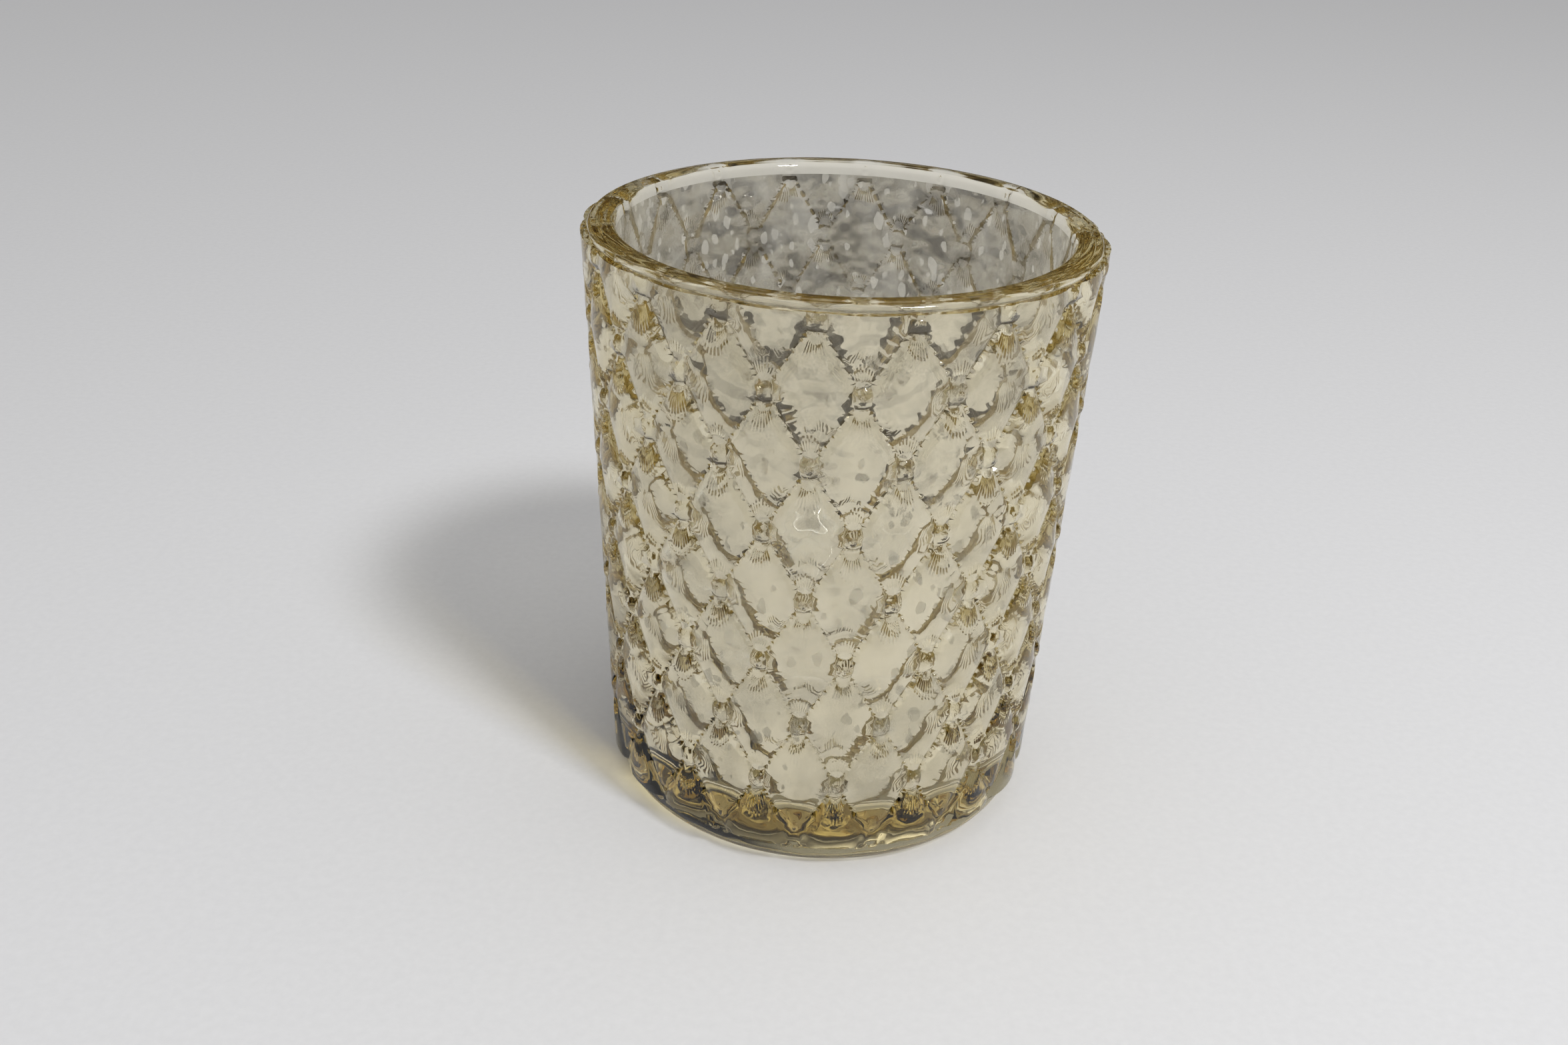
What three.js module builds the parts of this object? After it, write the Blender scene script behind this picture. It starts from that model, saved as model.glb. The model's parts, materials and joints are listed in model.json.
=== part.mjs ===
// A pressed-glass tealight holder: a small straight-sided amber cup with a quilted wall,
// silvered on the inside, and the tealight that stands in it.
// Millimetres, +Z up. The origin is the centre of the foot, on the surface the cup stands on.
import * as THREE from 'three';

// Driving dimensions of the glass
const HEIGHT = 70;
const LIP_RADIUS = 28.6;
const FOOT_RADIUS = 22.5;
const WALL_RADIUS_AT_FOOT = 25.95;
const WALL_RADIUS_AT_TOP = 29.42;
const INNER_RADIUS_AT_FLOOR = 22.3;
const INNER_RADIUS_AT_RIM = 25.4;
const FLOOR_Z = 6.5;
const FLOOR_CORNER = 3;
const FOOT_HOLLOW_RADIUS = 16.5;
const FOOT_HOLLOW_DEPTH = 0.8;
const HEEL_INSET = 0.25;
const HEEL_UNDER_ROW = 0.35;

// The lip: a thin flattened round over a groove that parts it from the quilting
const LIP_CROWN = 0.65;
const LIP_INNER_Z = 68.4;
const GROOVE_Z = 69.1;
const GROOVE_RADIUS = 28.2;

// The quilting: lozenges in staggered rows, with a stud at every crossing of their edges
// but the last row's, which runs out into the heel
const LOZENGES_ROUND = 18;
const LOZENGE_TURN = THREE.MathUtils.degToRad(-4.6);
const TOP_ROW_Z = 68.25;
const ROW_PITCH = 8;
const ROWS = 8;
const QUILT_DEPTH = 1.1;
const STUD_PROUD = 0.12;

// Mesh steps: both are even splits of a lozenge, so that its edges fall on mesh edges
const STEPS_ACROSS = 4;
const STEPS_PER_ROW = 2;

// Fit of the parts
const GAP = 0.3;
const FILM_THICKNESS = 0.3;
const FILM_TOP_Z = 68.6;

// The tealight
const CUP_RADIUS = 19;
const CUP_HEIGHT = 16;
const CUP_WALL = 0.4;
const CUP_BEAD_RADIUS = 0.45;
const CUP_TAPER = 0.6;
const CUP_CORNER = 0.6;
const CUP_NECK = 1.2;
const WAX_DEPTH = 12.8;
const WAX_CORNER = 0.8;
const MENISCUS = 0.5;
const MENISCUS_AT_WALL = 0.7;
const MENISCUS_AT_WICK = 1.2;
const WICK_RADIUS = 0.8;
const WICK_PROUD = 8;
const WICK_TIP = 0.4;
const TAB_RADIUS = 6.5;
const TAB_THICKNESS = 0.4;
const NECK_HEIGHT = 3;
const NECK_WALL = 0.4;

// Mesh steps of the plain turned parts
const PLAIN_STEPS = 54;
const SMALL_STEPS = 18;

const v = (radius, z) => new THREE.Vector2(radius, z);

function wallRadius(z) {
  return THREE.MathUtils.lerp(WALL_RADIUS_AT_FOOT, WALL_RADIUS_AT_TOP, z / HEIGHT);
}

function innerRadius(z) {
  const share = (z - FLOOR_Z) / (HEIGHT - FLOOR_Z);
  return THREE.MathUtils.lerp(INNER_RADIUS_AT_FLOOR, INNER_RADIUS_AT_RIM, share);
}

// Points along an elliptical arc from one angle to another, in degrees, ends included
function arc(centreRadius, centreZ, radiusAcross, radiusUp, from, to, steps) {
  const points = [];
  for (let i = 0; i <= steps; i += 1) {
    const angle = THREE.MathUtils.degToRad(THREE.MathUtils.lerp(from, to, i / steps));
    points.push(v(
      centreRadius + radiusAcross * Math.cos(angle),
      centreZ + radiusUp * Math.sin(angle),
    ));
  }
  return points;
}

// A solid of revolution about +Z from a profile that runs anticlockwise
function turned(profile, steps, start = 0) {
  const geometry = new THREE.LatheGeometry(profile, steps, start);
  geometry.rotateX(Math.PI / 2);
  return geometry;
}

function part(name, geometry, colour, roughness, metalness, extra = {}) {
  const material = new THREE.MeshStandardMaterial({
    color: colour,
    roughness,
    metalness,
    ...extra,
  });
  const mesh = new THREE.Mesh(geometry, material);
  mesh.name = name;
  return mesh;
}

// How far the quilted wall lies under its outer envelope, less than nothing on a stud. Row
// and column are in lozenge steps; across and along are the two slanting directions that
// the lozenge edges follow.
function quiltDepth(column, row) {
  const across = column + row / 2;
  const along = column - row / 2;
  const crown = (x) => 1 - (2 * (x - Math.floor(x)) - 1) ** 2;
  if (row < ROWS && Number.isInteger(across) && Number.isInteger(along)) {
    return -STUD_PROUD;
  }
  return QUILT_DEPTH * (1 - crown(across) * crown(along));
}

// The foot, from the centre of its shallow hollow out to where the quilting begins
function footProfile(bottomZ) {
  const heelAcross = wallRadius(bottomZ) - HEEL_INSET - FOOT_RADIUS;
  const heelUp = bottomZ - HEEL_UNDER_ROW;
  return [
    v(0, FOOT_HOLLOW_DEPTH),
    v(FOOT_HOLLOW_RADIUS, FOOT_HOLLOW_DEPTH),
    v(FOOT_HOLLOW_RADIUS + FOOT_HOLLOW_DEPTH, 0),
    v(FOOT_RADIUS, 0),
    ...arc(FOOT_RADIUS, heelUp, heelAcross, heelUp, -60, 0, 3),
  ];
}

// The plain rounded lip and the groove that parts it from the quilting
function lipProfile() {
  const halfWidth = (LIP_RADIUS - INNER_RADIUS_AT_RIM) / 2;
  return [
    v(GROOVE_RADIUS, GROOVE_Z),
    ...arc(LIP_RADIUS - halfWidth, HEIGHT - LIP_CROWN, halfWidth, LIP_CROWN, 0, 180, 6),
  ];
}

// The inner wall and the floor, ending on the axis
function hollowProfile(topZ, floorZ, inset) {
  const cornerZ = floorZ + FLOOR_CORNER;
  const cornerRadius = innerRadius(cornerZ) - inset - FLOOR_CORNER;
  return [
    v(innerRadius(topZ) - inset, topZ),
    ...arc(cornerRadius, cornerZ, FLOOR_CORNER, FLOOR_CORNER, 0, -90, 3),
    v(0, floorZ),
  ];
}

function glassCup() {
  const rows = ROWS * STEPS_PER_ROW;
  const bottomZ = TOP_ROW_Z - ROWS * ROW_PITCH;
  const foot = footProfile(bottomZ);
  const wall = [];
  for (let i = 0; i <= rows; i += 1) {
    const z = THREE.MathUtils.lerp(bottomZ, TOP_ROW_Z, i / rows);
    wall.push(v(wallRadius(z), z));
  }
  const profile = [
    ...foot,
    ...wall,
    ...lipProfile(),
    ...hollowProfile(LIP_INNER_Z, FLOOR_Z, 0),
  ];
  const steps = LOZENGES_ROUND * STEPS_ACROSS;
  const geometry = turned(profile, steps, LOZENGE_TURN);

  // Each wall vertex is drawn in by the quilting's depth at its row and column
  const position = geometry.attributes.position;
  for (let i = 0; i <= steps; i += 1) {
    const column = (i % steps) / STEPS_ACROSS;
    for (let j = 0; j <= rows; j += 1) {
      const row = (rows - j) / STEPS_PER_ROW;
      const index = i * profile.length + foot.length + j;
      const radius = wall[j].x;
      const scale = (radius - quiltDepth(column, row)) / radius;
      position.setX(index, position.getX(index) * scale);
      position.setY(index, position.getY(index) * scale);
    }
  }

  // A lathe splits every quad the same way, so those that a lozenge edge crosses the other
  // way are split again along that edge
  for (let i = 0; i < steps; i += 1) {
    for (let j = 0; j < rows; j += 1) {
      if ((i + rows - j) % STEPS_ACROSS === 0) {
        const near = i * profile.length + foot.length + j;
        const far = near + profile.length;
        const quad = i * (profile.length - 1) + foot.length + j;
        geometry.index.array.set([near, far, far + 1, near, far + 1, near + 1], quad * 6);
      }
    }
  }
  return part('glass_cup', geometry, 0xc9b98c, 0.05, 0, { transparent: true, opacity: 0.5 });
}

// The silvering on the inside of the glass: the floor and the wall up to just under the lip
function mirrorCoating() {
  const outer = hollowProfile(FILM_TOP_Z, FLOOR_Z + GAP, GAP).reverse();
  const inner = hollowProfile(FILM_TOP_Z, FLOOR_Z + GAP + FILM_THICKNESS, GAP + FILM_THICKNESS);
  return part('mirror_coating', turned([...outer, ...inner], PLAIN_STEPS), 0xb9b8b2, 0.15, 1);
}

const cupBottomZ = FLOOR_Z + FILM_THICKNESS + 2 * GAP;
const waxBottomZ = cupBottomZ + CUP_WALL + GAP;
const waxTopZ = waxBottomZ + WAX_DEPTH;
const boreRadius = WICK_RADIUS + GAP;

// The thin drawn-aluminium cup, with a small step up the wall and a rolled edge
function tealightCup() {
  const topZ = cupBottomZ + CUP_HEIGHT;
  const beadZ = topZ - CUP_BEAD_RADIUS;
  const footRadius = CUP_RADIUS - CUP_TAPER;
  const profile = [
    v(0, cupBottomZ),
    v(footRadius - CUP_CORNER, cupBottomZ),
    v(footRadius, cupBottomZ + CUP_CORNER),
    v(CUP_RADIUS, beadZ - CUP_NECK),
    ...arc(CUP_RADIUS, beadZ, CUP_BEAD_RADIUS, CUP_BEAD_RADIUS, -70, 180, 6),
    v(CUP_RADIUS - CUP_WALL, beadZ - CUP_NECK),
    v(footRadius - CUP_WALL, cupBottomZ + CUP_CORNER + CUP_WALL / 2),
    v(footRadius - CUP_CORNER - CUP_WALL / 2, cupBottomZ + CUP_WALL),
    v(0, cupBottomZ + CUP_WALL),
  ];
  return part('tealight_cup', turned(profile, PLAIN_STEPS), 0xc8c9cb, 0.3, 1);
}

// The cast wax, bored for the wick and hollowed underneath for the wick's tab
function waxBody() {
  const radius = CUP_RADIUS - CUP_TAPER - CUP_WALL - GAP;
  const neckRoom = boreRadius + NECK_WALL + GAP;
  const tabTopZ = waxBottomZ + TAB_THICKNESS + GAP;
  const neckTopZ = waxBottomZ + NECK_HEIGHT + GAP;
  const profile = [
    v(TAB_RADIUS + GAP, waxBottomZ),
    v(radius - WAX_CORNER, waxBottomZ),
    v(radius, waxBottomZ + WAX_CORNER),
    v(radius, waxTopZ + MENISCUS),
    v(radius - MENISCUS_AT_WALL, waxTopZ),
    v(boreRadius + MENISCUS_AT_WICK, waxTopZ),
    v(boreRadius, waxTopZ + MENISCUS),
    v(boreRadius, neckTopZ),
    v(neckRoom, neckTopZ),
    v(neckRoom, tabTopZ),
    v(TAB_RADIUS + GAP, tabTopZ),
    v(TAB_RADIUS + GAP, waxBottomZ),
  ];
  return part('wax', turned(profile, PLAIN_STEPS), 0xf1ede2, 0.45, 0);
}

// The pressed-tin tab that holds the wick upright: a disc with a crimped neck
function wickTab() {
  const neckRadius = boreRadius + NECK_WALL;
  const profile = [
    v(boreRadius, waxBottomZ),
    v(TAB_RADIUS, waxBottomZ),
    v(TAB_RADIUS, waxBottomZ + TAB_THICKNESS),
    v(neckRadius, waxBottomZ + TAB_THICKNESS),
    v(neckRadius, waxBottomZ + NECK_HEIGHT),
    v(boreRadius, waxBottomZ + NECK_HEIGHT),
    v(boreRadius, waxBottomZ),
  ];
  return part('wick_tab', turned(profile, SMALL_STEPS), 0xb4b5b4, 0.35, 1);
}

// The stiff waxed cotton wick
function wick() {
  const bottomZ = waxBottomZ + TAB_THICKNESS;
  const topZ = waxTopZ + WICK_PROUD;
  const profile = [
    v(0, bottomZ),
    v(WICK_RADIUS, bottomZ),
    v(WICK_RADIUS, topZ - WICK_TIP),
    v(WICK_RADIUS - WICK_TIP, topZ),
    v(0, topZ),
  ];
  return part('wick', turned(profile, SMALL_STEPS), 0xe9e4d6, 0.9, 0);
}

const holder = new THREE.Group();
holder.add(glassCup(), mirrorCoating(), tealightCup(), waxBody(), wickTab(), wick());

export default holder;
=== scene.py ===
import json
import math

import bmesh
import bpy
import numpy as np
from mathutils import Matrix, Vector
from mathutils.geometry import delaunay_2d_cdt

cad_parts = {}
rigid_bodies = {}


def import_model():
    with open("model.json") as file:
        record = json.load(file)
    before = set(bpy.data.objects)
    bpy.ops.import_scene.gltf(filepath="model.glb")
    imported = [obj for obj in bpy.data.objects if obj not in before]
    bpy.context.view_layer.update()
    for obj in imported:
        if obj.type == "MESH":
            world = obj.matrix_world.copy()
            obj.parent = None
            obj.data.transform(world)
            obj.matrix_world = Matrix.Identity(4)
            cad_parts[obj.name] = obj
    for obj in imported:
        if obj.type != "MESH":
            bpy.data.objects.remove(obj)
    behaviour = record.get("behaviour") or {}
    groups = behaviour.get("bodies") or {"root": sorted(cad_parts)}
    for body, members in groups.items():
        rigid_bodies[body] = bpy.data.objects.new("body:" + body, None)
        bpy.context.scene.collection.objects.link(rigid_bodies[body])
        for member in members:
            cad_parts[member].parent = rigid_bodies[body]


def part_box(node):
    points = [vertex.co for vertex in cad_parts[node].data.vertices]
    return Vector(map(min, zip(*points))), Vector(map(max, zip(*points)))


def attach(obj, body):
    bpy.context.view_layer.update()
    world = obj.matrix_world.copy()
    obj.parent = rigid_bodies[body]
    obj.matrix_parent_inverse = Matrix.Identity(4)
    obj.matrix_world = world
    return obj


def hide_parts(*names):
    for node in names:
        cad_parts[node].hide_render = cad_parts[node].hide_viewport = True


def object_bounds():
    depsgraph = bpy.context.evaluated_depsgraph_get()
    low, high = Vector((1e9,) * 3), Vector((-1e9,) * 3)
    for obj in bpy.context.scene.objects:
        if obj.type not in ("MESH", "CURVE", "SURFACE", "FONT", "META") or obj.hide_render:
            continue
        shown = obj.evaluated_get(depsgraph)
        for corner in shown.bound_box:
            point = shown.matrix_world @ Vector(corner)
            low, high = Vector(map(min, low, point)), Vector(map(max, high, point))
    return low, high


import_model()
cad_low, cad_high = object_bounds()


# ---------------------------------------------------------------------------------------
# The camera. It stands 20 cm in front of the cup and looks down into it. It is turned, tipped
# and rolled by small angles, so that the cup sits a little off the middle and leans slightly.
MM = 0.001
centre_height = (cad_low.z + cad_high.z) / 2
camera_distance = 199.7 * MM
camera_elevation = math.radians(25.76)
camera_turn = math.radians(1.547)
camera_tip = math.radians(0.736)
camera_roll = math.radians(-3.107)

back = Vector((0, -math.cos(camera_elevation), math.sin(camera_elevation)))
across = Vector((1, 0, 0))
ahead = -back
upward = across.cross(ahead)
right = across * math.cos(camera_turn) + ahead * math.sin(camera_turn)
ahead = -across * math.sin(camera_turn) + ahead * math.cos(camera_turn)
tipped = upward * math.cos(camera_tip) + ahead * math.sin(camera_tip)
ahead = -upward * math.sin(camera_tip) + ahead * math.cos(camera_tip)
camera_x = right * math.cos(camera_roll) - tipped * math.sin(camera_roll)
camera_y = right * math.sin(camera_roll) + tipped * math.cos(camera_roll)

camera = bpy.data.objects.new("camera", bpy.data.cameras.new("camera"))
bpy.context.scene.collection.objects.link(camera)
camera.data.lens = 38.0
camera.data.sensor_width = 36.0
camera.data.clip_start = 0.005
camera.matrix_world = Matrix.Translation(
    Vector((0, 0, centre_height)) + back * camera_distance
) @ Matrix((camera_x, camera_y, -ahead)).transposed().to_4x4()
bpy.context.scene.camera = camera


# ---------------------------------------------------------------------------------------
# The glass. One pressed piece of clear, faintly amber glass: a plain rounded lip, a wall
# quilted with lozenges, a rounded heel and a flat foot ring. The quilting is in the mould,
# so it stands only on the outside; the inside is smooth where the plunger went in.
lip_radius = 28.6
foot_radius = 22.5
wall_radius_at_foot = 25.95
wall_radius_at_top = 29.42
inner_radius_at_floor = 22.3
inner_radius_at_rim = 25.4
height = 70.0
floor_z = 6.5
groove_z = 69.15
heel_z = 3.5
lozenges_round = 18
lozenge_turn = math.radians(-4.6)
top_row_z = 68.25
row_pitch = 8.0
rows = 8
column_width = 9.6
quilt_depth = 0.9


def wall_radius(z):
    return wall_radius_at_foot + (wall_radius_at_top - wall_radius_at_foot) * z / height


def inner_radius(z):
    share = (z - floor_z) / (height - floor_z)
    return inner_radius_at_floor + (inner_radius_at_rim - inner_radius_at_floor) * share


def pillow(x, y):
    """The cushion of a lozenge, under the wall's envelope, 0 at its middle: a low dome
    that drops into a narrow groove at its straight edges."""
    column, row = x / column_width, -y / row_pitch
    crown = 1.0
    for slant in (column + row / 2, column - row / 2):
        off = abs(2 * (slant - math.floor(slant)) - 1)
        crown = min(crown, 1 - 0.55 * off ** 12 - 0.45 * off ** 2)
    return -quilt_depth * (1 - crown)


# A stud stands on every crossing, with a bar over and under it. Six beads fill each edge,
# and the ones next to a stud are smaller. The studs of the top row, under the lip, are
# wider, and the last row, in the heel, has neither studs nor beads.
stud_half = (1.05, 1.22)
top_stud_half = (1.3, 1.15)
stud_top = 0.06
bar_centres = ((0, 1.72), (0, -1.78))
bar_half = (0.72, 0.26)
bar_rise = 0.34
bead_radius = 0.31
small_bead_radius = 0.26
bead_rise = 0.4
bar_floor = 0.12
edge_length = math.hypot(column_width / 2, row_pitch)
bead_pitch = edge_length / 7
edge_ways = [
    (sx * column_width / 2 / edge_length, sy * row_pitch / edge_length)
    for sx in (-1, 1) for sy in (-1, 1)
]
bead_centres = [
    (wx * bead_pitch * i, wy * bead_pitch * i, bead_radius if i > 1 else small_bead_radius)
    for wx, wy in edge_ways for i in (1, 2, 3)
]
# Fans of ribs: the direction of the fan, its half spread, the number of its ribs, their
# first and last radius, and how high they stand. A fan's outer ribs are shorter.
fans = [
    (math.radians(-90), math.radians(20), 8, 1.9, 5.6, 0.15),
    (math.radians(90), math.radians(20), 7, 2.05, 4.2, 0.13),
]
outer_rib_loss = 0.25
# The lines that shape a groove's sides: how far each lies off the groove's middle, and how
# far from a crossing it starts
groove_sides = ((0.36, 1.95), (0.8, 2.6))


def dome(x, y, half_x, half_y, power, flatness):
    """1 in the middle of a rounded box, 0 at its edge, and steeper the larger flatness."""
    d = (abs(x / half_x) ** power + abs(y / half_y) ** power) ** (1 / power)
    return (1 - d ** flatness) ** 0.5 if d < 1 else 0.0


def relief(x, y, half):
    """Height of the mould's pattern round one stud, in millimetres from the envelope."""
    h = pillow(x, y)
    if half is None:
        return h
    reach = math.hypot(x, y)
    for way, spread, ribs, first, last, rise in fans:
        turn = (math.atan2(y, x) - way + math.pi) % (2 * math.pi) - math.pi
        last = last * (1 - outer_rib_loss * (turn / spread) ** 2)
        if abs(turn) < spread and first < reach < last:
            across_rib = (turn + spread) / (2 * spread) * ribs
            wave = 1 - abs(2 * (across_rib - math.floor(across_rib)) - 1)
            along_rib = (reach - first) / (last - first)
            h += rise * wave * min(1, along_rib / 0.12) * (1 - along_rib) ** 0.5
    for bx, by, radius in bead_centres:
        d = math.hypot(x - bx, y - by) / radius
        if d < 1:
            h = max(h, -quilt_depth + bead_rise * radius / bead_radius * (1 - d * d) ** 0.5)
    for bx, by in bar_centres:
        lift = dome(x - bx, y - by, *bar_half, 3, 2)
        if lift > 0:
            h = max(h, -quilt_depth + bar_floor + bar_rise * lift)
    lift = dome(x, y, *half, 3.2, 3)
    if lift > 0:
        h = max(h, -quilt_depth + (quilt_depth + stud_top) * lift)
    return h


def ring(cx, cy, half_x, half_y, count, power=2.0, turn=0.0):
    points = []
    for i in range(count):
        angle = 2 * math.pi * i / count + turn
        c, s = math.cos(angle), math.sin(angle)
        size = (abs(c) ** power + abs(s) ** power) ** (-1 / power)
        points.append((cx + half_x * size * c, cy + half_y * size * s))
    return points


def stud_tile(stud):
    """One mould tile, a lozenge with the stud in its middle and lozenge middles at its
    corners: its points lie on ribs, beads and stud, and thin out over the cushions. Gives
    its points, its faces, and the edges along the ribs, which the mould cuts sharp."""
    corners = [(column_width / 2, 0), (0, row_pitch), (-column_width / 2, 0), (0, -row_pitch)]
    steps = 12
    border = [
        tuple(np.array(corners[i]) + (np.array(corners[(i + 1) % 4]) - corners[i]) * j / steps)
        for i in range(4) for j in range(steps)
    ]
    points = list(border)
    edges = [(i, (i + 1) % len(border)) for i in range(len(border))]
    rib_edges = set()

    def add(group, closed=False, joined=False):
        first = len(points)
        points.extend(group)
        if joined:
            edges.extend((first + i, first + i + 1) for i in range(len(group) - 1))
        if closed:
            edges.append((first + len(group) - 1, first))

    def add_clear(group, clearance):
        """Adds the points of a group that are no nearer than this to any point so far."""
        kept = np.array(points)
        add([p for p in group if np.hypot(*(kept - p).T).min() > clearance])

    add([(0, 0)])
    rings = ((0.5, 8), (0.84, 14), (1.0, 18)) if stud else ()
    for share, count in rings:
        half = (stud[0] * share, stud[1] * share)
        add(ring(0, 0, *half, count, 3.2, share), closed=True, joined=True)
    for bx, by in bar_centres if stud else ():
        add([(bx - 0.4, by), (bx, by), (bx + 0.4, by)])
        add(ring(bx, by, *bar_half, 12, 3))
    for bx, by, radius in bead_centres if stud else ():
        if radius == bead_radius:
            add([(bx, by)])
            add(ring(bx, by, radius * 0.66, radius * 0.66, 6))
            add(ring(bx, by, radius, radius, 8, turn=0.3))
        else:
            side = math.copysign(0.2, bx)
            add([(bx + side, by), (bx + 2 * side, by), (bx + side, by + math.copysign(0.25, by))])
    for way, spread, ribs, first, last, _ in fans if stud else ():
        for i in range(2 * ribs + 1):
            turn = spread * (i / ribs - 1)
            far = last * (1 - outer_rib_loss * (turn / spread) ** 2)
            shares = (0.02, 0.15, 0.5, 0.98)
            rib_edges.update(range(len(edges), len(edges) + len(shares) - 1))
            add([
                (
                    (first + (far - first) * s) * math.cos(way + turn),
                    (first + (far - first) * s) * math.sin(way + turn),
                )
                for s in shares
            ], joined=True)
    # The straight sides of the grooves between the cushions, then the cushions themselves
    for wx, wy in edge_ways:
        for distance, near in groove_sides:
            along = np.linspace(near, edge_length / 2 - distance, 7)
            for off in (-distance, distance):
                add([(wx * d - wy * off, wy * d + wx * off) for d in along], joined=True)
    step = 0.85
    fill = [
        ((i + (j % 2) / 2) * step, j * step * 0.87) for i in range(-6, 7) for j in range(-11, 12)
    ]
    add_clear(
        [(x, y) for x, y in fill if abs(x) / (column_width / 2) + abs(y) / row_pitch < 0.93], 0.5
    )
    flat, all_edges, faces, _, made_from, _ = delaunay_2d_cdt(
        [Vector(p) for p in points], edges, [list(range(len(border)))], 1, 1e-5
    )
    verts = np.array([(p.x, p.y, relief(p.x, p.y, stud)) for p in flat])
    sharp = [edge for edge, source in zip(all_edges, made_from) if rib_edges & set(source)]
    return verts, np.array(faces), np.array(sharp, dtype=int).reshape(-1, 2)


def wrapped(x, y, h):
    """A point of the unrolled pattern, wrapped round the tapering wall, in metres."""
    angle = lozenge_turn + x / column_width * 2 * math.pi / lozenges_round
    r = wall_radius(y) + h
    return np.stack([r * np.sin(angle), -r * np.cos(angle), y], -1) * MM


plain_tile = stud_tile(stud_half)
top_tile = stud_tile(top_stud_half)
heel_tile = stud_tile(None)
sheet_verts, sheet_faces, sheet_sharp = [], [], []
first = 0
for row in range(-1, rows + 2):
    tile, tile_faces, tile_sharp = plain_tile
    if row == 0:
        tile, tile_faces, tile_sharp = top_tile
    elif row >= rows:
        tile, tile_faces, tile_sharp = heel_tile
    for column in range(lozenges_round):
        place = ((column + (row % 2) / 2) * column_width, top_row_z - row * row_pitch, 0)
        sheet_verts.append(tile + place)
        sheet_faces.append(tile_faces + first)
        sheet_sharp.append(tile_sharp + first)
        first += len(tile)
sheet_mesh = bpy.data.meshes.new("quilting")
sheet_mesh.from_pydata(
    np.concatenate(sheet_verts).tolist(), [], np.concatenate(sheet_faces).tolist()
)

# The lip's groove and the heel cut the pattern off, above and below
bm = bmesh.new()
bm.from_mesh(sheet_mesh)
bm.verts.ensure_lookup_table()
for a, b in np.concatenate(sheet_sharp).tolist():
    bm.edges.get((bm.verts[a], bm.verts[b])).smooth = False
for cut_y, way in ((groove_z, 1), (heel_z, -1)):
    bmesh.ops.bisect_plane(
        bm, geom=bm.verts[:] + bm.edges[:] + bm.faces[:], dist=1e-4,
        plane_co=(0, cut_y, 0), plane_no=(0, way, 0), clear_outer=True,
    )
for vert in bm.verts:
    vert.co = wrapped(*vert.co)
bmesh.ops.remove_doubles(bm, verts=bm.verts, dist=0.004 * MM)
bm.to_mesh(sheet_mesh)
bm.free()


def arc(centre_r, centre_z, across_r, up_z, start, end, steps):
    """Points of an elliptical arc in a profile, as (radius, z), its angles in degrees."""
    angles = [math.radians(start + (end - start) * i / steps) for i in range(steps + 1)]
    return [(centre_r + across_r * math.cos(a), centre_z + up_z * math.sin(a)) for a in angles]


def deselect_all():
    bpy.ops.object.select_all(action="DESELECT")


def spun(name, profile, steps, closed=False):
    """A turned shape: a profile of (radius, z) in millimetres spun once round the axis."""
    deselect_all()
    mesh = bpy.data.meshes.new(name)
    ends = [(i, i + 1) for i in range(len(profile) - 1)]
    if closed:
        ends.append((len(profile) - 1, 0))
    mesh.from_pydata([(r * MM, 0, z * MM) for r, z in profile], ends, [])
    piece = bpy.data.objects.new(name, mesh)
    bpy.context.scene.collection.objects.link(piece)
    bpy.context.view_layer.objects.active = piece
    piece.select_set(True)
    bpy.ops.object.mode_set(mode="EDIT")
    bpy.ops.mesh.select_all(action="SELECT")
    bpy.ops.mesh.spin(steps=steps, angle=2 * math.pi, center=(0, 0, 0), axis=(0, 0, 1))
    bpy.ops.mesh.select_all(action="SELECT")
    bpy.ops.mesh.remove_doubles(threshold=0.002 * MM)
    bpy.ops.mesh.normals_make_consistent(inside=False)
    bpy.ops.object.mode_set(mode="OBJECT")
    return piece


def bridged(piece, low, high):
    """Joins the two open edges of a piece that lie between two heights."""
    bpy.context.view_layer.objects.active = piece
    bpy.ops.object.mode_set(mode="EDIT")
    bpy.ops.mesh.select_mode(type="EDGE")
    bpy.ops.mesh.select_all(action="DESELECT")
    bm = bmesh.from_edit_mesh(piece.data)
    for edge in bm.edges:
        if edge.is_boundary and all(low < v.co.z / MM < high for v in edge.verts):
            edge.select_set(True)
    bmesh.update_edit_mesh(piece.data)
    bpy.ops.mesh.bridge_edge_loops()
    bpy.ops.object.mode_set(mode="OBJECT")


# The lip is fire-polished to a flat round, and stands in a little from the studs below it
lip_width = lip_radius - inner_radius_at_rim
lip_middle = lip_radius - lip_width / 2
corner = 3.0
corner_z = floor_z + corner
lip_and_hollow = [
    (lip_radius - 0.5, groove_z + 0.02),
    (lip_radius - 0.22, groove_z + 0.1),
    *arc(lip_radius - 0.65, height - 0.6, 0.65, 0.6, -30, 70, 6),
    *arc(lip_middle, height - 1.0, lip_width / 2, 1.0, 62, 118, 5),
    *arc(inner_radius_at_rim + 0.85, height - 0.9, 0.85, 0.9, 118, 180, 5),
    *[(inner_radius(z), z) for z in (67.5, 60, 50, 40, 30, 20)],
    *arc(inner_radius(corner_z) - corner, corner_z, corner, corner, 0, -90, 8),
    (10, floor_z),
    (0, floor_z),
]
heel_radius = wall_radius(heel_z) - quilt_depth
foot = [
    (0, 0.8),
    (8, 0.8),
    *arc(15.5, -0.2, 1.6, 1.0, 90, 12, 6),
    (17.6, 0),
    (20, 0),
    *arc(foot_radius, heel_z - 0.4, heel_radius - foot_radius, heel_z - 0.4, -90, 0, 9),
]
glass = spun("glass_cup_quilted", lip_and_hollow, 216)
foot_part = spun("foot", foot, 216)
quilting = bpy.data.objects.new("quilting", sheet_mesh)
bpy.context.scene.collection.objects.link(quilting)
deselect_all()
for part in (foot_part, quilting, glass):
    part.select_set(True)
bpy.context.view_layer.objects.active = glass
bpy.ops.object.join()
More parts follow.
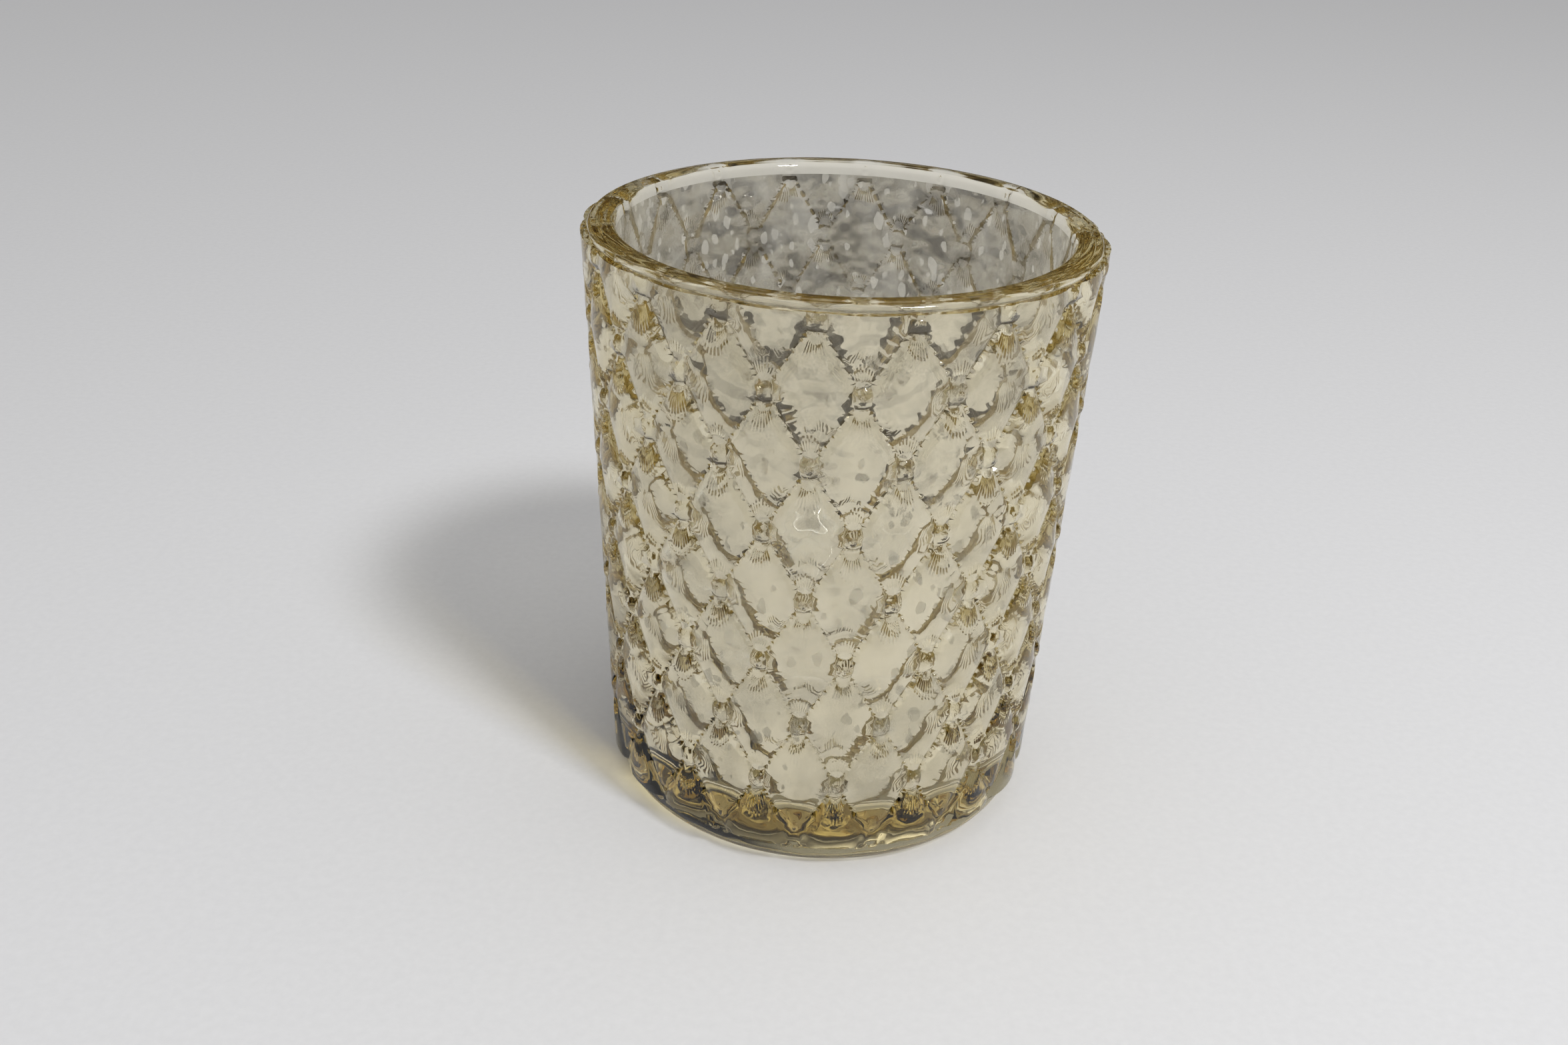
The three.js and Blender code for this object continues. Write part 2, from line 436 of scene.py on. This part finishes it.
bridged(glass, groove_z - 0.5, groove_z + 0.5)
bridged(glass, heel_z - 0.6, heel_z + 0.5)
bpy.ops.object.mode_set(mode="EDIT")
bpy.ops.mesh.select_all(action="SELECT")
bpy.ops.mesh.quads_convert_to_tris()
bpy.ops.mesh.normals_make_consistent(inside=False)
bpy.ops.object.mode_set(mode="OBJECT")
bpy.ops.object.shade_smooth_by_angle(angle=math.radians(50), keep_sharp_edges=True)
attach(glass, "holder")
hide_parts("glass_cup")


def new_material(name, piece):
    """A material with only its Principled shader, on the whole of a piece."""
    material = bpy.data.materials.new(name)
    material.use_nodes = True
    piece.data.materials.clear()
    piece.data.materials.append(material)
    nodes = material.node_tree.nodes
    return nodes, material.node_tree.links, nodes["Principled BSDF"]


def maths(nodes, links, operation, first, second=None, third=None):
    """A Math node, fed by sockets or by plain numbers; gives its output."""
    node = nodes.new("ShaderNodeMath")
    node.operation = operation
    for socket, value in zip(node.inputs, (first, second, third)):
        if isinstance(value, (int, float)):
            socket.default_value = value
        elif value is not None:
            links.new(value, socket)
    return node.outputs[0]


def noise(nodes, links, vector, scale, detail=2.0, roughness=0.5):
    node = nodes.new("ShaderNodeTexNoise")
    node.inputs["Scale"].default_value = scale
    node.inputs["Detail"].default_value = detail
    node.inputs["Roughness"].default_value = roughness
    links.new(vector, node.inputs["Vector"])
    return node.outputs[0]


def bump(nodes, links, height, strength, distance, normal=None):
    node = nodes.new("ShaderNodeBump")
    node.inputs["Strength"].default_value = strength
    node.inputs["Distance"].default_value = distance
    links.new(height, node.inputs["Height"])
    if normal is not None:
        links.new(normal, node.inputs["Normal"])
    return node.outputs[0]


# Pressed glass: a clear, champagne-coloured body, a surface with the slow waves that the
# mould leaves in it, and studs that the mould hammers all over
nodes, links, shader = new_material("amber_pressed_glass", glass)
shader.inputs["Base Color"].default_value = (0.99, 0.975, 0.93, 1)
shader.inputs["Roughness"].default_value = 0.0
shader.inputs["IOR"].default_value = 1.5
shader.inputs["Transmission Weight"].default_value = 1.0
absorb = nodes.new("ShaderNodeVolumeAbsorption")
absorb.inputs["Color"].default_value = (0.91, 0.77, 0.20, 1)
absorb.inputs["Density"].default_value = 36.0
links.new(absorb.outputs["Volume"], nodes["Material Output"].inputs["Volume"])

# Each surface lets most of the light on into the cup's shadow
let_through = 0.78
in_shadow = nodes.new("ShaderNodeLightPath").outputs["Is Shadow Ray"]
opaque = maths(nodes, links, "MULTIPLY_ADD", in_shadow, -let_through, 1.0)
links.new(opaque, shader.inputs["Alpha"])

place = nodes.new("ShaderNodeTexCoord").outputs["Object"]
waves = noise(nodes, links, place, 230, 1.0)
wavy = bump(nodes, links, waves, 0.35, 0.0006)

axes = nodes.new("ShaderNodeSeparateXYZ")
links.new(place, axes.inputs[0])
across_axis = maths(nodes, links, "POWER", axes.outputs[0], 2.0)
radius = maths(nodes, links, "MULTIPLY_ADD", axes.outputs[1], axes.outputs[1], across_axis)
radius = maths(nodes, links, "SQRT", radius)
wall_slope = (wall_radius_at_top - wall_radius_at_foot) / height
envelope = maths(nodes, links, "MULTIPLY_ADD", axes.outputs[2], wall_slope, wall_radius(0) * MM)
stand = maths(nodes, links, "SUBTRACT", radius, envelope)
on_stud = nodes.new("ShaderNodeMapRange")
on_stud.inputs["From Min"].default_value = 0.005 * MM
on_stud.inputs["From Max"].default_value = 0.045 * MM
links.new(stand, on_stud.inputs["Value"])
dimples = noise(nodes, links, place, 2600, 2.0)
dimples = maths(nodes, links, "MULTIPLY", dimples, on_stud.outputs[0])
links.new(bump(nodes, links, dimples, 1.0, 0.00022, wavy), shader.inputs["Normal"])


# ---------------------------------------------------------------------------------------
# The silvering. A film of silver a few micrometres thick, laid wet on the inside of the
# glass, where it dries thin and full of pinholes, so that some light gets through.
film_top_z = 68.6
film_in_glass = 0.02
film_in_air = 0.02


def film_side(inset):
    """The film's profile from the axis up to its edge, moved off the glass's inner face."""
    return [
        (0, floor_z + inset),
        (10, floor_z + inset),
        *arc(inner_radius(corner_z) - corner, corner_z, corner - inset, corner - inset, -90, 0, 8),
        *[(inner_radius(z) - inset, z) for z in (20, 30, 40, 50, 60, film_top_z)],
    ]


film_profile = film_side(-film_in_glass) + film_side(film_in_air)[::-1]
film = spun("silver_film", film_profile, 144)
bpy.ops.object.shade_smooth_by_angle(angle=math.radians(50))
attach(film, "holder")
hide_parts("mirror_coating")
# Diffuse rays pass the film, which no real film lets them do, or the foot would stand on black
film.visible_diffuse = False

# How much the silver covers: thin all over, thinner in clouds and towards the rim, and
# nearly gone in pinholes, which are oval and stand in the glass's up and down
speckle = bpy.data.node_groups.new("silver_cover", "ShaderNodeTree")
for name, value in (
    ("Thick", 0.85), ("Thin", 0.45), ("Pinhole", 0.3), ("Pinholes", 850.0), ("Clouds", 260.0),
):
    socket = speckle.interface.new_socket(name, in_out="INPUT", socket_type="NodeSocketFloat")
    socket.default_value = value
speckle.interface.new_socket("Cover", in_out="OUTPUT", socket_type="NodeSocketFloat")
nodes, links = speckle.nodes, speckle.links
given = nodes.new("NodeGroupInput").outputs
place = nodes.new("ShaderNodeTexCoord").outputs["Object"]
stretch = nodes.new("ShaderNodeMapping")
stretch.inputs["Scale"].default_value = (1, 1, 0.6)
links.new(place, stretch.inputs["Vector"])
ragged = nodes.new("ShaderNodeTexNoise")
ragged.inputs["Scale"].default_value = 900
links.new(stretch.outputs[0], ragged.inputs["Vector"])
shifted = nodes.new("ShaderNodeVectorMath")
shifted.operation = "MULTIPLY_ADD"
shifted.inputs[1].default_value = (0.0008, 0.0008, 0.0008)
links.new(ragged.outputs["Color"], shifted.inputs[0])
links.new(stretch.outputs[0], shifted.inputs[2])
cells = nodes.new("ShaderNodeTexVoronoi")
links.new(shifted.outputs[0], cells.inputs["Vector"])
links.new(given["Pinholes"], cells.inputs["Scale"])
luck = nodes.new("ShaderNodeSeparateColor")
links.new(cells.outputs["Color"], luck.inputs[0])
size = maths(nodes, links, "MULTIPLY_ADD", luck.outputs[0], 0.85, -0.25)
edge = maths(nodes, links, "SUBTRACT", size, cells.outputs["Distance"])
hole = nodes.new("ShaderNodeMapRange")
hole.inputs["From Min"].default_value = 0.0
hole.inputs["From Max"].default_value = 0.06
links.new(edge, hole.inputs["Value"])
clouds = nodes.new("ShaderNodeTexNoise")
clouds.inputs["Detail"].default_value = 3.0
links.new(stretch.outputs[0], clouds.inputs["Vector"])
links.new(given["Clouds"], clouds.inputs["Scale"])
cloudy = nodes.new("ShaderNodeMapRange")
cloudy.inputs["From Min"].default_value = 0.38
cloudy.inputs["From Max"].default_value = 0.66
links.new(clouds.outputs[0], cloudy.inputs["Value"])
links.new(given["Thick"], cloudy.inputs["To Min"])
links.new(given["Thin"], cloudy.inputs["To Max"])
cover = nodes.new("ShaderNodeMix")
links.new(hole.outputs[0], cover.inputs["Factor"])
links.new(cloudy.outputs[0], cover.inputs["A"])
links.new(given["Pinhole"], cover.inputs["B"])
rise = nodes.new("ShaderNodeSeparateXYZ")
links.new(place, rise.inputs[0])
towards_rim = nodes.new("ShaderNodeMapRange")
towards_rim.interpolation_type = "SMOOTHSTEP"
towards_rim.inputs["From Min"].default_value = 36 * MM
towards_rim.inputs["From Max"].default_value = film_top_z * MM
towards_rim.inputs["To Min"].default_value = 1.0
towards_rim.inputs["To Max"].default_value = 0.62
links.new(rise.outputs[2], towards_rim.inputs["Value"])
thinned = maths(nodes, links, "MULTIPLY", cover.outputs["Result"], towards_rim.outputs[0])
links.new(thinned, nodes.new("NodeGroupOutput").inputs["Cover"])


def silver(name, colour, roughness, unevenness):
    """Silver that covers as the pinholes and clouds let it; the last material added."""
    material = bpy.data.materials.new(name)
    material.use_nodes = True
    film.data.materials.append(material)
    nodes, links = material.node_tree.nodes, material.node_tree.links
    shader = nodes["Principled BSDF"]
    shader.inputs["Base Color"].default_value = colour
    shader.inputs["Metallic"].default_value = 1.0
    shader.inputs["Roughness"].default_value = roughness
    cover = nodes.new("ShaderNodeGroup")
    cover.node_tree = speckle
    # At least four fifths of the light that makes shadows is stopped, in pinholes too
    in_shadow = nodes.new("ShaderNodeLightPath").outputs["Is Shadow Ray"]
    shade = maths(nodes, links, "MULTIPLY", in_shadow, 0.8)
    covered = maths(nodes, links, "MAXIMUM", cover.outputs["Cover"], shade)
    links.new(covered, shader.inputs["Alpha"])
    place = nodes.new("ShaderNodeTexCoord").outputs["Object"]
    uneven = noise(nodes, links, place, 190, 2.0)
    links.new(bump(nodes, links, uneven, unevenness, 0.0024), shader.inputs["Normal"])


# Smooth and bright against the glass, and duller and uneven on its bare back
film.data.materials.clear()
silver("silver_against_glass", (0.89, 0.865, 0.80, 1), 0.03, 0.1)
silver("silver_back", (0.80, 0.79, 0.77, 1), 0.09, 1.0)
for face in film.data.polygons:
    outwards = Vector((face.center.x, face.center.y, face.center.z - corner_z * MM))
    face.material_index = 0 if face.normal.dot(outwards) > 0 else 1


# ---------------------------------------------------------------------------------------
# The tealight's cup. Aluminium sheet 0.2 mm thick, drawn deep, with a hollow in its floor,
# fine upright flutes that keep the wall from wrinkling, and an edge rolled outwards.
cup_low, cup_high = (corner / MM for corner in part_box("tealight_cup"))
sheet_thickness = 0.22
roll_radius = 0.43
roll_z = cup_high.z - roll_radius - 0.02
cup_radius_at_edge = 19.0
cup_radius_at_floor = 18.4
floor_corner = 0.9
flutes = 54
flute_depth = 0.09
flute_low, flute_high = 9.0, 20.8
flutes_from_radius = 15.0


def cup_radius(z):
    share = (z - cup_low.z - floor_corner) / (roll_z - cup_low.z - floor_corner)
    return cup_radius_at_floor + (cup_radius_at_edge - cup_radius_at_floor) * share


def cup_wall(inset):
    """One side of the cup's sheet, from the axis out and up to under the roll."""
    foot_z = cup_low.z + inset
    bend = floor_corner - inset
    bend_r = cup_radius_at_floor - floor_corner
    return [
        (0, foot_z + 0.42),
        (14.2, foot_z + 0.42),
        (14.9, foot_z + 0.34),
        (15.5, foot_z + 0.06),
        (15.9, foot_z),
        *arc(bend_r, foot_z + bend, bend, bend, -90, 0, 5),
        *[(cup_radius(z) - inset, z) for z in (8.9, 9.5, 11, 13, 15, 17, 19, 20.3, 20.9, 21.6)],
    ]


aluminium_cup = spun(
    "aluminium_cup",
    cup_wall(0)
    + arc(cup_radius_at_edge, roll_z, roll_radius, roll_radius, -75, 205, 12)
    + cup_wall(sheet_thickness)[::-1],
    216,
)
for vert in aluminium_cup.data.vertices:
    around = math.atan2(vert.co.y, vert.co.x)
    height_up = vert.co.z / MM
    r = math.hypot(vert.co.x, vert.co.y)
    if flute_low < height_up < flute_high and r > flutes_from_radius * MM:
        inwards = flute_depth * MM * (1 - math.cos(flutes * around)) / 2
        vert.co.x *= (r - inwards) / r
        vert.co.y *= (r - inwards) / r
bpy.ops.object.shade_smooth_by_angle(angle=math.radians(40))
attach(aluminium_cup, "tealight")
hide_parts("tealight_cup")

# Bright sheet with the fine upright draw marks of the die
nodes, links, shader = new_material("drawn_aluminium", aluminium_cup)
shader.inputs["Base Color"].default_value = (0.83, 0.84, 0.85, 1)
shader.inputs["Metallic"].default_value = 1.0
place = nodes.new("ShaderNodeTexCoord").outputs["Object"]
drawn = nodes.new("ShaderNodeMapping")
drawn.inputs["Scale"].default_value = (1, 1, 0.06)
links.new(place, drawn.inputs["Vector"])
draw_marks = noise(nodes, links, drawn.outputs[0], 1800, 3.0)
dull = nodes.new("ShaderNodeMapRange")
dull.inputs["To Min"].default_value = 0.16
dull.inputs["To Max"].default_value = 0.36
links.new(draw_marks, dull.inputs["Value"])
links.new(dull.outputs[0], shader.inputs["Roughness"])
dents = noise(nodes, links, place, 160, 1.0)
dented = bump(nodes, links, dents, 0.5, 0.0003)
links.new(bump(nodes, links, draw_marks, 0.25, 0.00005, dented), shader.inputs["Normal"])


# ---------------------------------------------------------------------------------------
# The wax. Paraffin poured into the cup round the wick: it climbs a little at the aluminium
# and at the wick, and sinks in a shallow dish between them as it sets.
wax_low, wax_high = (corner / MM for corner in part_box("wax"))
wax_top_z = wax_high.z - 0.5
wax_inset = sheet_thickness + flute_depth + 0.06
bore = 0.98
wax_profile = [
    (6.8, wax_low.z),
    *arc(17.0, wax_low.z + 0.9, 0.85, 0.9, -90, 0, 4),
    *[(cup_radius(z) - wax_inset, z) for z in (10, 13, 16, 19)],
    (cup_radius(wax_top_z) - wax_inset, wax_top_z + 0.44),
    (cup_radius(wax_top_z) - wax_inset - 0.1, wax_top_z + 0.48),
    (17.75, wax_top_z + 0.26),
    (17.2, wax_top_z + 0.1),
    (16.2, wax_top_z + 0.02),
    (14, wax_top_z - 0.04),
    (11, wax_top_z - 0.12),
    (8, wax_top_z - 0.24),
    (5.5, wax_top_z - 0.3),
    (3.6, wax_top_z - 0.26),
    (2.4, wax_top_z - 0.12),
    (1.6, wax_top_z + 0.1),
    (1.15, wax_top_z + 0.34),
    (bore, wax_top_z + 0.4),
    (bore, 11.4),
    (1.85, 11.4),
    (1.85, 8.8),
    (6.8, 8.8),
]
paraffin = spun("paraffin_fill", wax_profile, 144, closed=True)
bpy.ops.object.shade_smooth_by_angle(angle=math.radians(50))
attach(paraffin, "candle")
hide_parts("wax")

# White wax that light soaks into, frosted with crystals and slightly rippled where it set
nodes, links, shader = new_material("white_paraffin", paraffin)
shader.inputs["Roughness"].default_value = 0.42
shader.inputs["Subsurface Weight"].default_value = 0.6
shader.inputs["Subsurface Radius"].default_value = (1.0, 0.8, 0.6)
shader.inputs["Subsurface Scale"].default_value = 0.003
place = nodes.new("ShaderNodeTexCoord").outputs["Object"]
bloom = nodes.new("ShaderNodeValToRGB")
bloom.color_ramp.elements[0].position = 0.35
bloom.color_ramp.elements[0].color = (0.83, 0.80, 0.72, 1)
bloom.color_ramp.elements[1].position = 0.7
bloom.color_ramp.elements[1].color = (0.90, 0.885, 0.84, 1)
links.new(noise(nodes, links, place, 260, 4.0), bloom.inputs[0])
links.new(bloom.outputs["Color"], shader.inputs["Base Color"])
ripples = bump(nodes, links, noise(nodes, links, place, 180, 2.0), 0.4, 0.0004)
grains = noise(nodes, links, place, 2400, 2.0)
links.new(bump(nodes, links, grains, 0.3, 0.00005, ripples), shader.inputs["Normal"])


# ---------------------------------------------------------------------------------------
# The wick's tab. A disc stamped from tinplate, with a ring pressed in it to stiffen it and
# a neck that is drawn up in the middle and crimped flat on two sides to grip the wick.
tab_low, tab_high = (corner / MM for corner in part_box("wick_tab"))
tab_profile = [
    (bore, tab_low.z),
    (3.7, tab_low.z),
    (4.2, tab_low.z + 0.14),
    (4.7, tab_low.z),
    (6.3, tab_low.z),
    (6.45, tab_low.z + 0.1),
    (6.45, tab_low.z + 0.22),
    (6.3, tab_low.z + 0.3),
    (4.8, tab_low.z + 0.3),
    (4.2, tab_low.z + 0.46),
    (3.6, tab_low.z + 0.3),
    (2.1, tab_low.z + 0.32),
    (1.6, tab_low.z + 0.5),
    (1.42, tab_low.z + 0.9),
    (1.38, tab_high.z - 1.6),
    (1.36, tab_high.z - 0.1),
    (1.28, tab_high.z),
    (1.14, tab_high.z - 0.04),
    (1.12, tab_high.z - 1.6),
    (bore + 0.1, tab_low.z + 0.9),
]
tin_tab = spun("tinplate_tab", tab_profile, 72, closed=True)
for vert in tin_tab.data.vertices:
    if vert.co.z > (tab_high.z - 1.7) * MM:
        vert.co.y *= 0.84
bpy.ops.object.shade_smooth_by_angle(angle=math.radians(40))
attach(tin_tab, "candle")
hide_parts("wick_tab")

# Tinplate, with the mottle of the tin's crystals
nodes, links, shader = new_material("tinplate", tin_tab)
shader.inputs["Metallic"].default_value = 1.0
place = nodes.new("ShaderNodeTexCoord").outputs["Object"]
spangle = nodes.new("ShaderNodeTexVoronoi")
spangle.inputs["Scale"].default_value = 900
links.new(place, spangle.inputs["Vector"])
tone = nodes.new("ShaderNodeValToRGB")
tone.color_ramp.elements[0].color = (0.60, 0.60, 0.60, 1)
tone.color_ramp.elements[1].color = (0.76, 0.76, 0.75, 1)
links.new(spangle.outputs["Color"], tone.inputs[0])
links.new(tone.outputs["Color"], shader.inputs["Base Color"])
dull = nodes.new("ShaderNodeMapRange")
dull.inputs["To Min"].default_value = 0.22
dull.inputs["To Max"].default_value = 0.42
links.new(spangle.outputs["Distance"], dull.inputs["Value"])
links.new(dull.outputs[0], shader.inputs["Roughness"])


# ---------------------------------------------------------------------------------------
# The wick. Braided cotton stiffened with wax, cut off square above the wax, with three twisted
# strands in place of the braid. It stands through the bore in the wax, in the tab's neck.
wick_low, wick_high = (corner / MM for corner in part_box("wick"))
strand_radius = 0.4
strand_offset = 0.37
twists = 5
deselect_all()
bpy.ops.mesh.primitive_circle_add(
    vertices=10, radius=strand_radius * MM, location=(strand_offset * MM, 0, wick_low.z * MM)
)
wick = bpy.context.active_object
wick.name = "cotton_wick"
bpy.ops.object.transform_apply(location=True, rotation=True, scale=True)
twist = wick.modifiers.new("twist", "SCREW")
twist.angle = 2 * math.pi
twist.iterations = twists
twist.screw_offset = (wick_high.z - wick_low.z) * MM / twists
twist.steps = 14
twist.render_steps = 14
bpy.ops.object.modifier_apply(modifier="twist")
for _ in range(2):
    bpy.ops.object.duplicate()
    bpy.ops.transform.rotate(value=-2 * math.pi / 3, orient_axis="Z", center_override=(0, 0, 0))
    bpy.ops.object.transform_apply(location=True, rotation=True, scale=True)
for strand in bpy.data.objects:
    strand.select_set(strand.name.startswith("cotton_wick"))
bpy.context.view_layer.objects.active = wick
bpy.ops.object.join()
bpy.ops.object.mode_set(mode="EDIT")
bpy.ops.mesh.select_mode(type="VERT")
bpy.ops.mesh.select_all(action="SELECT")
bpy.ops.mesh.fill_holes(sides=0)
bpy.ops.mesh.select_all(action="SELECT")
bpy.ops.mesh.normals_make_consistent(inside=False)
bpy.ops.object.mode_set(mode="OBJECT")
bpy.ops.object.shade_smooth_by_angle(angle=math.radians(60))
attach(wick, "candle")
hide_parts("wick")

# Undyed cotton, its fibres lying along the twist
nodes, links, shader = new_material("waxed_cotton", wick)
shader.inputs["Roughness"].default_value = 0.7
shader.inputs["Sheen Weight"].default_value = 0.3
place = nodes.new("ShaderNodeTexCoord").outputs["Object"]
lying = nodes.new("ShaderNodeMapping")
lying.inputs["Scale"].default_value = (1, 1, 0.2)
links.new(place, lying.inputs["Vector"])
fibres = noise(nodes, links, lying.outputs[0], 5200, 3.0)
tone = nodes.new("ShaderNodeValToRGB")
tone.color_ramp.elements[0].position = 0.3
tone.color_ramp.elements[0].color = (0.62, 0.57, 0.47, 1)
tone.color_ramp.elements[1].position = 0.65
tone.color_ramp.elements[1].color = (0.86, 0.83, 0.76, 1)
links.new(fibres, tone.inputs[0])
links.new(tone.outputs["Color"], shader.inputs["Base Color"])
links.new(bump(nodes, links, fibres, 0.6, 0.0001), shader.inputs["Normal"])


# ---------------------------------------------------------------------------------------
# The studio. A pale, faintly mottled table top, one soft box high at the front right, and wide
# soft light from above.
deselect_all()
bpy.ops.mesh.primitive_plane_add(size=4, location=(0, 0, 0))
table = bpy.context.active_object
table.name = "table"
nodes, links, shader = new_material("pale_table", table)
shader.inputs["Roughness"].default_value = 0.8
place = nodes.new("ShaderNodeTexCoord").outputs["Object"]
tone = nodes.new("ShaderNodeValToRGB")
tone.color_ramp.elements[0].position = 0.3
tone.color_ramp.elements[0].color = (0.765, 0.765, 0.775, 1)
tone.color_ramp.elements[1].position = 0.7
tone.color_ramp.elements[1].color = (0.795, 0.795, 0.805, 1)
links.new(noise(nodes, links, place, 900, 3.0, 0.6), tone.inputs[0])
links.new(tone.outputs["Color"], shader.inputs["Base Color"])


def soft_lamp(name, azimuth, elevation, distance, size, power):
    """A square soft box aimed at the cup. Azimuth 0 is the camera's side, 90 the right."""
    lamp = bpy.data.objects.new(name, bpy.data.lights.new(name, "AREA"))
    bpy.context.scene.collection.objects.link(lamp)
    a, e = math.radians(azimuth), math.radians(elevation)
    way = Vector((math.sin(a) * math.cos(e), -math.cos(a) * math.cos(e), math.sin(e)))
    lamp.location = Vector((0, 0, centre_height)) + way * distance
    lamp.rotation_mode = "QUATERNION"
    lamp.rotation_quaternion = way.to_track_quat("Z", "Y")
    lamp.data.size = size
    lamp.data.energy = power
    return lamp


soft_lamp("key", 40, 50, 0.8, 0.12, 3.8)

# A dark card curves round the front of the table, close behind the camera, so that the
# glass has something dark to draw its edges with. It is seen only in what bends or mirrors
# light, which is the glass, the silvering and the tealight's metal.
card_radius = 230
card_low, card_high = 5, 190
card_turn = math.radians(160)
deselect_all()
card = bpy.data.objects.new("dark_card", bpy.data.meshes.new("dark_card"))
card.data.from_pydata(
    [(0, -card_radius * MM, z * MM) for z in (card_low, card_high)], [(0, 1)], []
)
bpy.context.scene.collection.objects.link(card)
bpy.context.view_layer.objects.active = card
card.select_set(True)
bpy.ops.object.mode_set(mode="EDIT")
bpy.ops.mesh.select_all(action="SELECT")
bpy.ops.transform.rotate(value=-card_turn / 2, orient_axis="Z", center_override=(0, 0, 0))
bpy.ops.mesh.spin(steps=40, angle=card_turn, center=(0, 0, 0), axis=(0, 0, 1))
bpy.ops.object.mode_set(mode="OBJECT")
nodes, links, shader = new_material("dark_card", card)
shader.inputs["Base Color"].default_value = (0.05, 0.04, 0.03, 1)
shader.inputs["Roughness"].default_value = 0.9
card.visible_camera = False
card.visible_shadow = False
card.visible_diffuse = False

# The light above is wide and white, and dark cloth stands round the table to give the
# glass its edges. The camera sees only pale paper beyond the table.
world = bpy.data.worlds.new("studio")
bpy.context.scene.world = world
world.use_nodes = True
nodes, links = world.node_tree.nodes, world.node_tree.links
up = nodes.new("ShaderNodeSeparateXYZ")
links.new(nodes.new("ShaderNodeTexCoord").outputs["Generated"], up.inputs[0])
round_about = nodes.new("ShaderNodeValToRGB")
ramp = round_about.color_ramp
ramp.elements[0].position = 0.0
ramp.elements[0].color = (0.05, 0.045, 0.04, 1)
ramp.elements[1].position = 0.62
ramp.elements[1].color = (1.0, 1.0, 1.0, 1)
step = ramp.elements.new(0.5)
step.color = (0.06, 0.055, 0.05, 1)
links.new(up.outputs[2], round_about.inputs[0])
seen = nodes.new("ShaderNodeMix")
seen.data_type = "RGBA"
seen.inputs["B"].default_value = (0.72, 0.73, 0.75, 1)
links.new(nodes.new("ShaderNodeLightPath").outputs["Is Camera Ray"], seen.inputs["Factor"])
links.new(round_about.outputs["Color"], seen.inputs["A"])
links.new(seen.outputs["Result"], nodes["Background"].inputs["Color"])
nodes["Background"].inputs["Strength"].default_value = 0.66

cycles = bpy.context.scene.cycles
cycles.max_bounces = 24
cycles.glossy_bounces = 14
cycles.transmission_bounces = 20
cycles.transparent_max_bounces = 24
bpy.context.scene.view_settings.view_transform = "Standard"
